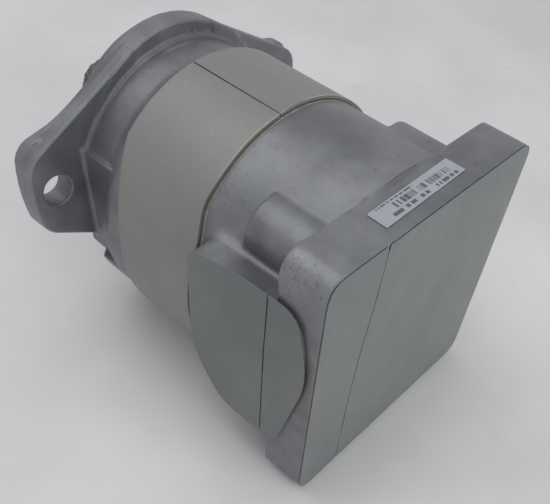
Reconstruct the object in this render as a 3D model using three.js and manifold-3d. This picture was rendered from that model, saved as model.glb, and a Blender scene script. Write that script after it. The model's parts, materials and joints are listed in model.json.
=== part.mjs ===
// Variable displacement axial piston pump: swash plate type, nine pistons, two-bolt mounting flange.
// Millimetres. +Y runs along the shaft from the flange to the square rear end, +Z is up, and the
// flange ears lie along X. Places along Y are measured from the mounting flange's front face; the
// finished group is moved so that its origin is the centre of the drive shaft's end face.
// The round casing is eccentric: its axis lies BODY_DROP below the shaft, over the stroking piston.
// The swash plate stands square to the shaft (no stroke) in this rest position.

import * as THREE from 'three';
import { mergeVertices } from 'three/addons/utils/BufferGeometryUtils.js';
import Module from 'manifold-3d';

const wasm = await Module();
wasm.setup();

// ---------------------------------------------------------------- driving dimensions

const GAP = 0.3; // air left between neighbouring pieces

// segments in a full turn
const FINE = 48; // casings and other large rounds
const MEDIUM = 24;
const COARSE = 16;
const SMALL = 12; // pistons, slippers and small holes

// casing
const BODY_DROP = 21.2; // casing axis below the shaft axis
const BODY_R = 81.8;
const JOINT_Y = 96; // parting plane between the two castings
const FLANGE_T = 14;
const FLANGE_R = 68;
const EAR_R = 106.5; // ear tips, measured from the shaft axis
const EAR_HOLE_X = 90.5;
const EAR_HOLE_R = 9;
const PILOT_R = 63.5;
const PILOT_LENGTH = 6.4;
const SEAL_R = 26.3;
const NECK_R = 77;
const NECK_DROP = 19; // neck axis below the shaft axis
const SIDE_WALL = { x: 70.5, top: 17.8, bottom: -50, end: 39 }; // flat sides of the neck
const PLATE_Y0 = 177.5;
const REAR_Y = 205.5;
const PLATE_HALF_X = 85;
const PLATE_TOP = 57.4;
const PLATE_BOTTOM = -114.8;
const PLATE_CORNER_R = 12;
const PAD_X = 86.3; // port faces, left and right

// long bolts and the bosses round them
const BOLT_X = 49.5;
const BOLT_DZ = 50.9; // bolt rows above and below the casing axis
const BOLT_R = 5;
const BOLT_HEAD_R = 8;
const BOLT_HEAD_Y = 194;
const BOLT_TIP_Y = 72;
const BOSS_R = 18.3;
const BOSS_Y = 138;

// sleeve rolled round the joint
const SLEEVE_INNER_R = 82.2;
const SLEEVE_OUTER_R = 84.4;
const SLEEVE_Y0 = 43.5;
const SLEEVE_Y1 = 108.5;
const SLEEVE_SEAM = 8; // degrees from the top towards +X

// rotating group
const TILT_MAX = THREE.MathUtils.degToRad(17);
const PIVOT_Y = 74; // swash plate axis, in the plane of the piston balls
const PISTON_COUNT = 9;
const PISTON_PITCH_R = 33; // circle of the piston balls, in the swash plate's plane
const PISTON_R = 9.25;
const PISTON_Y1 = 132;
const BALL_R = 5.6;
// A tilted ball circle is PISTON_PITCH_R * (1 - cos(tilt)) narrower, so the bores sit halfway.
const BORE_SHIFT = PISTON_PITCH_R * (1 - Math.cos(TILT_MAX)) / 2;
const BORE_R = PISTON_R + BORE_SHIFT + 0.15;
const BARREL_R = 46;
const BARREL_Y0 = 92;
const BARREL_Y1 = 150;
const SHAFT_R = 15;
const CAVITY_R = 49.5;
const SEAT_Y = 154.6; // face of the rear casting behind the valve plate
const CRADLE_R = 38; // back of the swash plate, about its axis
const FACE_Y = 64; // slipper running face
const CRADLE_X = [22, 42]; // width of each rail and its shell, on both sides
const RAIL_LIMIT_R = 41; // keeps the tilted rails clear of the cavity wall
const RETAINER_BALL_R = 19;
const DOWEL = { r: 2.5, z: 41, y1: 160.6 }; // holds the valve plate still

// control pistons, under the rotating group
const ARM_Z = -66;
const ARM = { halfWidth: 9, y0: 50, y1: 62 }; // swash plate's arm, between the two pistons
const CONTROL_R = 10;

// ---------------------------------------------------------------- materials

const material = (color, roughness, metalness) =>
  new THREE.MeshStandardMaterial({ color, roughness, metalness });

const castIron = material(0x6a6d72, 0.5, 0.6);
const jacketSheet = material(0x8b8b88, 0.55, 0.2);
const film = material(0x6b7073, 0.6, 0.0);
const labelPaper = material(0xb5bcc8, 0.5, 0.0);
const steel = material(0x9a9da1, 0.3, 1.0);
const blackSteel = material(0x2c2d2f, 0.45, 0.8);
const bronze = material(0xb08d57, 0.35, 0.9);
const springSteel = material(0x75787c, 0.35, 1.0);
const rubber = material(0x1b1b1c, 0.8, 0.0);
const gasketPaper = material(0x4d6a5b, 0.8, 0.0);

// ---------------------------------------------------------------- solids

/** A closed solid from a three.js geometry, for joining and cutting. */
function solid(geometry) {
  const bare = geometry.clone();
  bare.deleteAttribute('normal');
  bare.deleteAttribute('uv');
  const merged = mergeVertices(bare, 1e-4);
  const points = merged.attributes.position.array;
  const triangles = Uint32Array.from(merged.index.array);
  if (signedVolume(points, triangles) < 0) {
    for (let t = 0; t < triangles.length; t += 3) {
      [triangles[t], triangles[t + 1]] = [triangles[t + 1], triangles[t]];
    }
  }
  return new wasm.Manifold(new wasm.Mesh({
    numProp: 3,
    vertProperties: Float32Array.from(points),
    triVerts: triangles,
  }));
}

function signedVolume(points, triangles) {
  const corner = (t) => new THREE.Vector3().fromArray(points, 3 * triangles[t]);
  let sum = 0;
  for (let t = 0; t < triangles.length; t += 3) {
    sum += corner(t).dot(corner(t + 1).cross(corner(t + 2))) / 6;
  }
  return sum;
}

function geometryOf(body) {
  const { vertProperties, triVerts } = body.getMesh();
  const geometry = new THREE.BufferGeometry();
  geometry.setAttribute('position', new THREE.BufferAttribute(Float32Array.from(vertProperties), 3));
  geometry.setIndex(new THREE.BufferAttribute(Uint32Array.from(triVerts), 1));
  return geometry;
}

const union = (bodies) => bodies.reduce((sum, body) => sum.add(body));
const cut = (body, tools) => tools.reduce((rest, tool) => rest.subtract(tool), body);

/** Cylinder along Y. */
function rod(radius, y0, y1, { x = 0, z = 0, segments = MEDIUM } = {}) {
  const geometry = new THREE.CylinderGeometry(radius, radius, y1 - y0, segments);
  return solid(geometry.translate(x, (y0 + y1) / 2, z));
}

/** Round hole along Y whose flats, not its corners, lie on the radius. */
function bore(radius, y0, y1, { x = 0, z = 0, segments = MEDIUM } = {}) {
  return rod(radius / Math.cos(Math.PI / segments), y0, y1, { x, z, segments });
}

/** Cylinder along X. */
function crossRod(radius, x0, x1, y, z, segments = COARSE) {
  const geometry = new THREE.CylinderGeometry(radius, radius, x1 - x0, segments);
  return solid(geometry.rotateZ(Math.PI / 2).translate((x0 + x1) / 2, y, z));
}

/** Solid of revolution about a line along Y; the profile holds [radius, y] pairs. */
function turned(profile, { x = 0, z = 0, segments = MEDIUM } = {}) {
  const points = profile.map(([r, y]) => new THREE.Vector2(r, y));
  return solid(new THREE.LatheGeometry(points, segments).translate(x, 0, z));
}

/** Ring of rectangular section about a line along Y. */
function ring(inner, outer, y0, y1, place = {}) {
  return turned([[inner, y0], [outer, y0], [outer, y1], [inner, y1], [inner, y0]], place);
}

function block(x0, x1, y0, y1, z0, z1) {
  const geometry = new THREE.BoxGeometry(x1 - x0, y1 - y0, z1 - z0);
  return solid(geometry.translate((x0 + x1) / 2, (y0 + y1) / 2, (z0 + z1) / 2));
}

/** Shape drawn in (x, z), extruded along Y. */
function prismY(shape, y0, y1) {
  const options = { depth: y1 - y0, bevelEnabled: false, curveSegments: 6 };
  return solid(new THREE.ExtrudeGeometry(shape, options).rotateX(Math.PI / 2).translate(0, y1, 0));
}

/** Shape drawn in (y, z), extruded along X. */
function prismX(shape, x0, x1) {
  const options = { depth: x1 - x0, bevelEnabled: false, curveSegments: 6 };
  const geometry = new THREE.ExtrudeGeometry(shape, options);
  const turn = new THREE.Matrix4().makeBasis(
    new THREE.Vector3(0, 1, 0),
    new THREE.Vector3(0, 0, 1),
    new THREE.Vector3(1, 0, 0),
  );
  return solid(geometry.applyMatrix4(turn).translate(x0, 0, 0));
}

/** Closed outline through [u, v, corner radius] points. */
function outline(corners) {
  const shape = new THREE.Shape();
  const at = (i) => corners[(i + corners.length) % corners.length];
  const towards = (from, to, distance) => {
    const a = new THREE.Vector2(from[0], from[1]);
    const b = new THREE.Vector2(to[0], to[1]);
    return a.add(b.sub(a).setLength(distance));
  };
  corners.forEach((corner, i) => {
    const reach = corner[2];
    const start = towards(corner, at(i - 1), reach);
    const end = towards(corner, at(i + 1), reach);
    if (i === 0) shape.moveTo(start.x, start.y);
    else shape.lineTo(start.x, start.y);
    if (reach > 0) shape.quadraticCurveTo(corner[0], corner[1], end.x, end.y);
  });
  shape.closePath();
  return shape;
}

/** Coil spring along Y with flat-cut wire ends. */
function coil(radius, wire, turns, y0, y1, { x = 0, z = 0 } = {}) {
  class Helix extends THREE.Curve {
    getPoint(t, target = new THREE.Vector3()) {
      const angle = 2 * Math.PI * turns * t;
      const y = THREE.MathUtils.lerp(y0 + wire, y1 - wire, t);
      return target.set(x + radius * Math.cos(angle), y, z + radius * Math.sin(angle));
    }
  }
  const section = new THREE.Shape().absarc(0, 0, wire, 0, 2 * Math.PI);
  return solid(new THREE.ExtrudeGeometry(section, {
    extrudePath: new Helix(),
    steps: turns * SMALL,
    curveSegments: 2,
    bevelEnabled: false,
  }));
}

/** Points of an arc of a profile: centre (0, y), from one angle to another in degrees. */
function arc(radius, y, from, to, steps = 8) {
  return Array.from({ length: steps + 1 }, (_, i) => {
    const angle = THREE.MathUtils.degToRad(THREE.MathUtils.lerp(from, to, i / steps));
    return [radius * Math.cos(angle), y + radius * Math.sin(angle)];
  });
}

const pump = new THREE.Group();

function part(name, shape, look) {
  const mesh = new THREE.Mesh(geometryOf(shape), look);
  mesh.name = name;
  pump.add(mesh);
}

/** Limits along X of something that is repeated on both sides. */
const onSide = (side, inner, outer) => (side > 0 ? [inner, outer] : [-outer, -inner]);

const boltPlaces = [1, -1].flatMap((up) =>
  [1, -1].map((side) => ({ x: side * BOLT_X, z: -BODY_DROP + up * BOLT_DZ })));

const placesOn = (radius) => Array.from({ length: PISTON_COUNT }, (_, i) => {
  const angle = (2 * Math.PI * i) / PISTON_COUNT;
  return { x: radius * Math.sin(angle), z: radius * Math.cos(angle) };
});
const pistonPlaces = placesOn(PISTON_PITCH_R);
const borePlaces = placesOn(PISTON_PITCH_R - BORE_SHIFT);

// ---------------------------------------------------------------- front housing

/** Flange ear. The rear layer has straight edges, lower below; the front layer is waisted. */
function earOutline(side, waisted) {
  const tip = (degrees, r) => {
    const angle = THREE.MathUtils.degToRad(degrees);
    return [side * EAR_R * Math.cos(angle), EAR_R * Math.sin(angle), r];
  };
  const straight = (up) => (up > 0
    ? [[side * 32.6, 59.6, 1], tip(11.5, 7)]
    : [[side * 32.6, -62, 1], tip(-12.6, 5)]);
  const half = (up) => (waisted
    ? [[side * 34, up * 58, 1], [side * 50, up * 49.5, 6], [side * 64, up * 35, 9],
      [side * 80, up * 28.8, 6], tip(up * 14.2, 8)]
    : straight(up));
  const edge = [tip(6, 0), tip(0, 0), tip(-6, 0)];
  return outline([...half(1), ...edge, ...half(-1).reverse()]);
}

/** The casting's outside: neck at the flange, flaring into the round body, earlier underneath. */
function flaredBody() {
  const FLARE_START = 34;
  const FLARE_END = 46;
  const UNDER_LEAD = { start: 16, end: 21 }; // how much earlier it flares below
  const profile = [[0, FLANGE_T - 4], [NECK_R, FLANGE_T - 4]];
  for (let i = 0; i <= 5; i += 1) {
    const y = THREE.MathUtils.lerp(FLARE_START, FLARE_END, i / 5);
    const ease = THREE.MathUtils.smoothstep(y, FLARE_START, FLARE_END);
    profile.push([THREE.MathUtils.lerp(NECK_R, BODY_R, ease), y]);
  }
  profile.push([BODY_R, JOINT_Y - GAP], [0, JOINT_Y - GAP]);
  const points = profile.map(([r, y]) => new THREE.Vector2(r, y));
  const geometry = new THREE.LatheGeometry(points, FINE);
  const { position } = geometry.attributes;
  for (let i = 0; i < position.count; i += 1) {
    const y = position.getY(i);
    const ease = THREE.MathUtils.smoothstep(y, FLARE_START, FLARE_END);
    const z = position.getZ(i) - THREE.MathUtils.lerp(NECK_DROP, BODY_DROP, ease);
    const under = THREE.MathUtils.smoothstep(-z, 5, 50);
    const lead = under * THREE.MathUtils.lerp(UNDER_LEAD.start, UNDER_LEAD.end, ease);
    const onFlare = y >= FLARE_START && y <= FLARE_END;
    position.setXYZ(i, position.getX(i), onFlare ? y - lead : y, z);
  }
  return solid(geometry);
}

/** Seats for the two cradle shells, standing on the front wall of the cavity. */
function cradleSeats() {
  const [inner, outer] = CRADLE_X;
  const pads = [1, -1].map((side) =>
    block(...onSide(side, inner - 2, outer + 2), 26, 46, -27, 27));
  return cut(union(pads), [crossRod(CRADLE_R + 3, -60, 60, PIVOT_Y, 0, FINE)]);
}

/** Room for the swash plate's arm and the control pistons, below the main cavity. */
function controlPocket(halfWidth, floorZ, y0, y1) {
  return prismY(outline([
    [-halfWidth, -30, 0], [-halfWidth, floorZ, 6], [halfWidth, floorZ, 6], [halfWidth, -30, 0],
  ]), y0, y1);
}

function frontHousing() {
  const { x: wallX, top, bottom, end } = SIDE_WALL;
  const neck = cut(flaredBody(), [1, -1].map((side) =>
    block(...onSide(side, wallX, BODY_R + 1), FLANGE_T, end, bottom, top)));
  const shell = union([
    neck,
    rod(FLANGE_R, 0, FLANGE_T, { segments: FINE }),
    rod(PILOT_R, -PILOT_LENGTH, 1, { segments: FINE }),
    ...[1, -1].map((side) => prismY(earOutline(side, true), 0, 7)),
    ...[1, -1].map((side) => prismY(earOutline(side, false), 6.5, FLANGE_T)),
    block(-wallX, wallX, FLANGE_T - 1, end, -10, top),
  ]);
  const hollow = cut(shell, [
    rod(CAVITY_R, 28, JOINT_Y + 1, { segments: FINE }),
    controlPocket(19, -84, 48, JOINT_Y + 1),
    controlPocket(12.5, -78.4, 22, 49),
    bore(SEAL_R + GAP, -PILOT_LENGTH - 1, 6),
    bore(36.3, 5, 29),
    ...[1, -1].map((side) => bore(EAR_HOLE_R, -1, FLANGE_T + 2, { x: side * EAR_HOLE_X })),
    ...boltPlaces.map((place) =>
      bore(BOLT_R + GAP, BOLT_TIP_Y - 2, JOINT_Y + 1, { ...place, segments: SMALL })),
  ]);
  return hollow.add(cradleSeats());
}

part('front_housing', frontHousing(), castIron);

// ---------------------------------------------------------------- rear housing with the ports

const RIGHT_PAD_DROP = 8; // the right pad's upper edge is lower than the left one's

const padOutline = (drop) => outline([
  [118.5, 23 - drop, 8],
  [192, 32 - drop, 14 - drop],
  [201.5, -6, 22],
  [185, -77, 9],
  [141, -79, 13],
  [118, -47, 16],
]);

const plateOutline = () => outline([
  [PLATE_HALF_X, PLATE_TOP, PLATE_CORNER_R],
  [-PLATE_HALF_X, PLATE_TOP, PLATE_CORNER_R],
  [-PLATE_HALF_X, PLATE_BOTTOM, PLATE_CORNER_R],
  [PLATE_HALF_X, PLATE_BOTTOM, PLATE_CORNER_R],
]);

const PORT_Y = 159;
const KIDNEY_Y1 = 171; // depth of the kidney passages that the ports run into
const PORT_Z = -24;
const PORT_R = { left: 16, right: 12.5 };
const CONTROL_Y = 191.5; // compensator bore, low in the square plate
const CONTROL_Z = -98;
const DRAIN = { x: -30, y: 124, r: 9 }; // drain port, opening downwards

/** Kidney-shaped passage behind the valve plate, on one side of the shaft. */
function kidney(side, r0, r1, degrees, y0, y1) {
  const half = THREE.MathUtils.degToRad(degrees);
  const middle = side > 0 ? 0 : Math.PI;
  const shape = new THREE.Shape();
  shape.absarc(0, 0, r1, middle - half, middle + half, false);
  shape.absarc(0, 0, r0, middle + half, middle - half, true);
  shape.closePath();
  return prismY(shape, y0, y1);
}

/** Port bore with its four flange screw holes, opening on one side face. */
function portCuts(side, radius) {
  const screws = [1, -1].flatMap((along) => [1, -1].map((up) =>
    crossRod(4.6, ...onSide(side, PAD_X - 18, PAD_X + 1), PORT_Y + along * 16, PORT_Z + up * 29, 8)));
  const port = crossRod(radius, ...onSide(side, 31, PAD_X + 1), PORT_Y, PORT_Z, MEDIUM);
  return [port, ...screws];
}

function drainCuts() {
  const port = new THREE.CylinderGeometry(DRAIN.r + GAP, DRAIN.r + GAP, 22, 28);
  const passage = new THREE.CylinderGeometry(4, 4, 60, 16);
  return [
    solid(port.rotateX(Math.PI / 2).translate(DRAIN.x, DRAIN.y, -97)),
    solid(passage.rotateX(Math.PI / 2).translate(DRAIN.x, DRAIN.y, -64)),
  ];
}

function rearHousing() {
  const solidBlock = union([
    rod(BODY_R, JOINT_Y + GAP, PLATE_Y0 + 1, { z: -BODY_DROP, segments: FINE }),
    prismY(plateOutline(), PLATE_Y0, REAR_Y),
    prismX(padOutline(0), 40, PAD_X),
    prismX(padOutline(RIGHT_PAD_DROP), -PAD_X, -40),
    ...boltPlaces.map((place) => rod(BOSS_R, BOSS_Y, PLATE_Y0 + 1, { ...place, segments: COARSE })),
  ]);
  return cut(solidBlock, [
    rod(CAVITY_R, JOINT_Y - 1, SEAT_Y, { segments: FINE }),
    bore(13.3, JOINT_Y - 1, 150.5, { z: ARM_Z, segments: COARSE }),
    bore(26.3, SEAT_Y - 1, 176),
    rod(22, 175, REAR_Y - 8),
    bore(31.3, REAR_Y - 9, REAR_Y + 1),
    ...[1, -1].map((side) => kidney(side, 28.5, 38, 46, SEAT_Y - 1, KIDNEY_Y1)),
    ...portCuts(1, PORT_R.left),
    ...portCuts(-1, PORT_R.right),
    ...boltPlaces.map((place) =>
      bore(BOLT_R + GAP, JOINT_Y - 1, REAR_Y, { ...place, segments: SMALL })),
    ...boltPlaces.map((place) =>
      bore(BOLT_HEAD_R + 1, BOLT_HEAD_Y - GAP, REAR_Y + 1, { ...place, segments: COARSE })),
    crossRod(6, -61, 12, CONTROL_Y, CONTROL_Z),
    crossRod(7.6, -PLATE_HALF_X - 1, -60, CONTROL_Y, CONTROL_Z),
    bore(DOWEL.r + 0.4, SEAT_Y - 1, DOWEL.y1 + 0.4, { z: DOWEL.z, segments: SMALL }),
    ...drainCuts(),
  ]);
}

part('rear_housing', rearHousing(), castIron);

function housingGasket() {
  const shape = new THREE.Shape().absarc(0, -BODY_DROP, BODY_R - 0.6, 0, 2 * Math.PI);
  const sheet = prismY(shape, JOINT_Y - 0.15, JOINT_Y + 0.15);
  return cut(sheet, [
    rod(CAVITY_R + 0.5, JOINT_Y - 2, JOINT_Y + 2),
    block(-20, 20, JOINT_Y - 2, JOINT_Y + 2, -85, -30),
    ...boltPlaces.map((place) => rod(BOLT_R + 1, JOINT_Y - 2, JOINT_Y + 2, { ...place, segments: SMALL })),
  ]);
}

part('housing_gasket', housingGasket(), gasketPaper);

/** Bolt with a socket head; the hex socket opens to the rear. */
function socketBolt(place) {
  const head = rod(BOLT_HEAD_R, BOLT_HEAD_Y, BOLT_HEAD_Y + 10, { ...place, segments: COARSE });
  const shank = rod(BOLT_R - GAP, BOLT_TIP_Y, BOLT_HEAD_Y + 1, { ...place, segments: SMALL });
  const socket = rod(4.6, BOLT_HEAD_Y + 5, BOLT_HEAD_Y + 11, { ...place, segments: 6 });
  return cut(union([head, shank]), [socket]);
}

boltPlaces.forEach((place, i) => part(`housing_bolt_${i + 1}`, socketBolt(place), blackSteel));

// ---------------------------------------------------------------- sleeve, films and label

/** Sheet bent round the joint. Its edges wander towards the rear on the ear sides. */
function housingSleeve() {
  const SEAM_HALF_GAP = 0.35; // degrees
  const STEPS = 60;
  const geometry = new THREE.BoxGeometry(1, 1, 1, STEPS, 1, 1);
  const { position } = geometry.attributes;
  const { clamp, smoothstep } = THREE.MathUtils;
  for (let i = 0; i < position.count; i += 1) {
    const around = position.getX(i) + 0.5;
    const degrees = SLEEVE_SEAM + THREE.MathUtils.lerp(SEAM_HALF_GAP, 360 - SEAM_HALF_GAP, around);
    const angle = THREE.MathUtils.degToRad(degrees);
    const r = position.getZ(i) > 0 ? SLEEVE_OUTER_R : SLEEVE_INNER_R;
    const side = degrees > 180 ? 360 - degrees : degrees;
    const rise = Math.sin((Math.PI / 2) * clamp((side - 45) / 49, 0, 1));
    const front = SLEEVE_Y0 + 14.5 * rise * (1 - smoothstep(side, 120, 160));
    const rear = SLEEVE_Y1 + 5.5 * smoothstep(side, 48, 66) * (1 - smoothstep(side, 125, 160));
    const y = position.getY(i) > 0 ? rear : front;
    position.setXYZ(i, r * Math.sin(angle), y, -BODY_DROP + r * Math.cos(angle));
  }
  return solid(geometry);
}

part('housing_sleeve', housingSleeve(), jacketSheet);

const filmOutline = (drop) => outline([
  [118.5, 24 - drop, 8],
  [193, 33 - drop, 14 - drop],
  [203, -6, 22],
  [185.5, -78, 9],
  [141, -80, 13],
  [117, -47, 16],
]);

part('left_port_film', prismX(filmOutline(0), PAD_X + GAP, PAD_X + 1), film);
part(
  'right_port_film',
  prismX(filmOutline(RIGHT_PAD_DROP), -PAD_X - 1, -PAD_X - GAP),
  film,
);
part('rear_film', prismY(plateOutline(), REAR_Y + GAP, REAR_Y + 0.9), film);
part('label', block(-31, 36, 184.8, 197.5, PLATE_TOP + 0.2, PLATE_TOP + 0.6), labelPaper);

// ---------------------------------------------------------------- bearings and seal

const FRONT_BEARING = { y0: 6, y1: 24, bore: 17.8, race: 22, ball: 30.9, outside: 36, rollers: 10 };
const REAR_BEARING = { y0: 158, y1: 174, bore: 12.8, race: 16, ball: 21.9, outside: 26, rollers: 9 };

function innerRing({ y0, y1, bore: inside, race }) {
  return ring(inside, race, y0, y1);
}

function outerRing({ y0, y1, ball, outside }) {
  return ring(ball, outside, y0, y1);
}

/** Cage and its rollers as one piece: two side rings carry the rollers between the races. */
function rollerCage({ y0, y1, race, ball, rollers }) {
  const middle = (race + ball) / 2;
  const rollerR = (ball - race) / 2 - GAP - 0.15;
  const bars = Array.from({ length: rollers }, (_, i) => {
    const angle = (2 * Math.PI * i) / rollers;
    const place = { x: middle * Math.sin(angle), z: middle * Math.cos(angle), segments: 6 };
    return rod(rollerR, y0 + 2, y1 - 2, place);
  });
  return union([
    ring(middle - 1.8, middle + 1.8, y0 + 0.5, y0 + 2.5, { segments: COARSE }),
    ring(middle - 1.8, middle + 1.8, y1 - 2.5, y1 - 0.5, { segments: COARSE }),
    ...bars,
  ]);
}

part('front_bearing_outer_ring', outerRing(FRONT_BEARING), steel);
part('front_bearing_inner_ring', innerRing(FRONT_BEARING), steel);
part('front_bearing_roller_cage', rollerCage(FRONT_BEARING), steel);
part('rear_bearing_outer_ring', outerRing(REAR_BEARING), steel);
part('rear_bearing_inner_ring', innerRing(REAR_BEARING), steel);
part('rear_bearing_roller_cage', rollerCage(REAR_BEARING), steel);

const SEAL_Y = { ring: -5.4, front: -3.4, back: 4.6 };

/** Lip seal: a stiff outer ring with the lip leaning on the shaft. */
function shaftSeal() {
  const { front, back } = SEAL_Y;
  return turned([
    [SEAL_R, front], [SEAL_R, back], [23.6, back], [23.6, front + 2.2], [20, front + 2.2],
    [18.4, front + 6.2], [17.4, front + 5.2], [18.2, front], [SEAL_R, front],
  ]);
}

part('shaft_seal', shaftSeal(), rubber);
part('seal_retaining_ring', ring(23.4, SEAL_R, SEAL_Y.ring, SEAL_Y.front - 0.4), springSteel);

// ---------------------------------------------------------------- drive shaft

const SPLINE = { teeth: 14, tip: 15.9, root: 14.1, y0: -66, y1: -24 };

function splineOutline({ teeth, tip, root }) {
  const shape = new THREE.Shape();
  const at = (r, turn) => [r * Math.cos(2 * Math.PI * turn), r * Math.sin(2 * Math.PI * turn)];
  for (let i = 0; i < teeth; i += 1) {
    const corners = [[root, 0], [root, 0.3], [tip, 0.45], [tip, 0.85]];
    corners.forEach(([r, share], k) => {
      const point = at(r, (i + share) / teeth);
      if (i === 0 && k === 0) shape.moveTo(...point);
      else shape.lineTo(...point);
    });
  }
  shape.closePath();
  return shape;
}

function driveShaft() {
  const spline = prismY(splineOutline(SPLINE), SPLINE.y0, SPLINE.y1)
    .intersect(turned([
      [0, SPLINE.y0], [13.6, SPLINE.y0], [16.2, SPLINE.y0 + 2.6],
      [16.2, SPLINE.y1 + 1], [0, SPLINE.y1 + 1],
    ]));
  const core = turned([
    [0, -26], [16.4, -26], [16.8, -25.4], [16.8, 5], [17.5, 5.6], [17.5, 24.3], [19, 24.3],
    [19, 29], [SHAFT_R, 31], [SHAFT_R, 156], [12.5, 157.6], [12.5, 173.4],
    [11.6, 174.4], [0, 174.4],
  ]);
  return union([core, spline]);
}

part('drive_shaft', driveShaft(), steel);

// ---------------------------------------------------------------- swash plate and cradle

function swashPlate() {
  const disc = rod(43, FACE_Y - 9, FACE_Y, { segments: FINE });
  const rails = [1, -1].map((side) => {
    const round = crossRod(CRADLE_R, ...onSide(side, ...CRADLE_X), PIVOT_Y, 0, FINE);
    return round.intersect(rod(RAIL_LIMIT_R, 30, FACE_Y - 1, { segments: FINE }));
  });
  const arm = block(-ARM.halfWidth, ARM.halfWidth, ARM.y0, ARM.y1, ARM_Z - ARM.halfWidth, -30);
  const halfSlot = (y) => SHAFT_R / Math.cos(TILT_MAX) + (PIVOT_Y - y) * Math.tan(TILT_MAX) + 1.5;
  const [back, front] = [30, FACE_Y + 2];
  const slot = outline([
    [back, halfSlot(back), 0], [back, -halfSlot(back), 0],
    [front, -halfSlot(front), 0], [front, halfSlot(front), 0],
  ]);
  const bridge = crossRod(CRADLE_R, -23, 23, PIVOT_Y, 0, FINE)
    .intersect(block(-24, 24, 30, FACE_Y - 2, -40, 40));
  return cut(union([disc, ...rails, bridge, arm]), [prismX(slot, -17.5, 17.5)]);
}

part('swash_plate', swashPlate(), steel);

/** Half-shell lining one cradle seat. */
function cradleShell(side) {
  const [x0, x1] = onSide(side, ...CRADLE_X);
  const outer = crossRod(CRADLE_R + 2.6, x0, x1, PIVOT_Y, 0, FINE);
  const inner = crossRod(CRADLE_R + 0.4, x0 - 1, x1 + 1, PIVOT_Y, 0, FINE);
  return cut(outer, [inner]).intersect(block(-43, 43, 30, 50, -24, 24));
}

part('cradle_bearing_left', cradleShell(1), bronze);
part('cradle_bearing_right', cradleShell(-1), bronze);

// ---------------------------------------------------------------- barrel, pistons and slippers

function cylinderBarrel() {
  return cut(rod(BARREL_R, BARREL_Y0, BARREL_Y1, { segments: FINE }), [
    ...borePlaces.map((place) =>
      bore(BORE_R, BARREL_Y0 - 1, BARREL_Y1 - 5.5, { ...place, segments: SMALL })),
    ...borePlaces.map((place) =>
      rod(5, BARREL_Y1 - 6, BARREL_Y1 + 1, { ...place, segments: SMALL })),
    rod(20.7, BARREL_Y0 - 1, 136, { segments: FINE }),
    bore(SHAFT_R + GAP, 135, BARREL_Y1 + 1),
  ]);
}

part('cylinder_barrel', cylinderBarrel(), steel);
part('barrel_spring', coil(18.4, 1.5, 4, 101, 135.5), springSteel);

/** Spherical seat under the retainer plate; its sleeve reaches into the barrel. */
function retainerBall() {
  return turned([
    [SHAFT_R + GAP, 67], [17, 67], ...arc(RETAINER_BALL_R, PIVOT_Y, -18, 14, 4),
    [18.4, 80], [18.4, 100.6], [SHAFT_R + GAP, 100.6], [SHAFT_R + GAP, 67],
  ]);
}

part('retainer_ball', retainerBall(), steel);

const SLIPPER = { flangeR: 10.9, flangeY0: FACE_Y + GAP, flangeY1: FACE_Y + 3.4, neckR: 7.3 };

/** Plate that holds the slippers on the swash plate; spherical bore about the swash plate's axis. */
function retainerPlate() {
  const y0 = SLIPPER.flangeY1 + GAP;
  const y1 = y0 + 3;
  const boreAt = (y) => Math.sqrt((RETAINER_BALL_R + GAP) ** 2 - (y - PIVOT_Y) ** 2);
  const disc = turned([
    [boreAt(y0) + 0.1, y0], [43.6, y0], [43.6, y1], [boreAt(y1) + 0.1, y1], [boreAt(y0) + 0.1, y0],
  ], { segments: FINE });
  return cut(disc, pistonPlaces.map((place) => rod(9.1, y0 - 1, y1 + 1, { ...place, segments: SMALL })));
}

part('retainer_plate', retainerPlate(), steel);

function piston(place) {
  return turned([
    ...arc(BALL_R, PIVOT_Y, -90, 52, 5), [3.3, 79.6], [PISTON_R, 86],
    [PISTON_R, PISTON_Y1], [6, PISTON_Y1], [6, 96], [0, 94],
  ], { ...place, segments: SMALL });
}

function slipper(place) {
  const { flangeR, flangeY0, flangeY1, neckR } = SLIPPER;
  return turned([
    [0, flangeY0], [flangeR, flangeY0],
    [flangeR, flangeY1], [neckR, flangeY1], [neckR, 76.4], [5.6, 76.4],
    ...arc(BALL_R + GAP, PIVOT_Y, 22, -90, 4),
  ], { ...place, segments: SMALL });
}

pistonPlaces.forEach((place, i) => {
  part(`piston_${i + 1}`, piston(place), steel);
  part(`slipper_${i + 1}`, slipper(place), bronze);
});

/** Port plate between barrel and rear casting: two kidneys and a dowel hole. */
function valvePlate() {
  return cut(ring(16.5, 45.5, BARREL_Y1 + GAP, SEAT_Y - GAP), [
    ...[1, -1].map((side) => kidney(side, 29.5, 36.5, 62, BARREL_Y1 - 1, SEAT_Y + 1)),
    rod(DOWEL.r + 0.5, BARREL_Y1 + 1.6, SEAT_Y + 1, { z: DOWEL.z, segments: SMALL }),
  ]);
}

part('valve_plate', valvePlate(), bronze);
part('valve_plate_pin', rod(DOWEL.r, BARREL_Y1 + 2, DOWEL.y1, { z: DOWEL.z, segments: SMALL }), steel);

// ---------------------------------------------------------------- stroke control

const STROKE_CLEARANCE = 0.9; // between each control piston's dome and the swash plate's arm

/** Control piston along Y: domed end at tipY, flat end at backY. */
function domed(tipY, backY) {
  const way = Math.sign(backY - tipY);
  const dome = Array.from({ length: 5 }, (_, i) => {
    const angle = (Math.PI / 2) * (i / 4);
    return [CONTROL_R * Math.sin(angle), tipY + way * CONTROL_R * (1 - Math.cos(angle))];
  });
  return [...dome, [CONTROL_R, backY]];
}

function strokingPiston() {
  const tip = ARM.y1 + STROKE_CLEARANCE;
  return turned([...domed(tip, 116), [6.5, 116], [6.5, 90], [0, 88]], { z: ARM_Z, segments: COARSE });
}

function strokingPistonGuide() {
  const inner = (CONTROL_R + 0.15) / Math.cos(Math.PI / COARSE);
  return ring(inner, 13, 98, 150, { z: ARM_Z, segments: COARSE });
}

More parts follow.
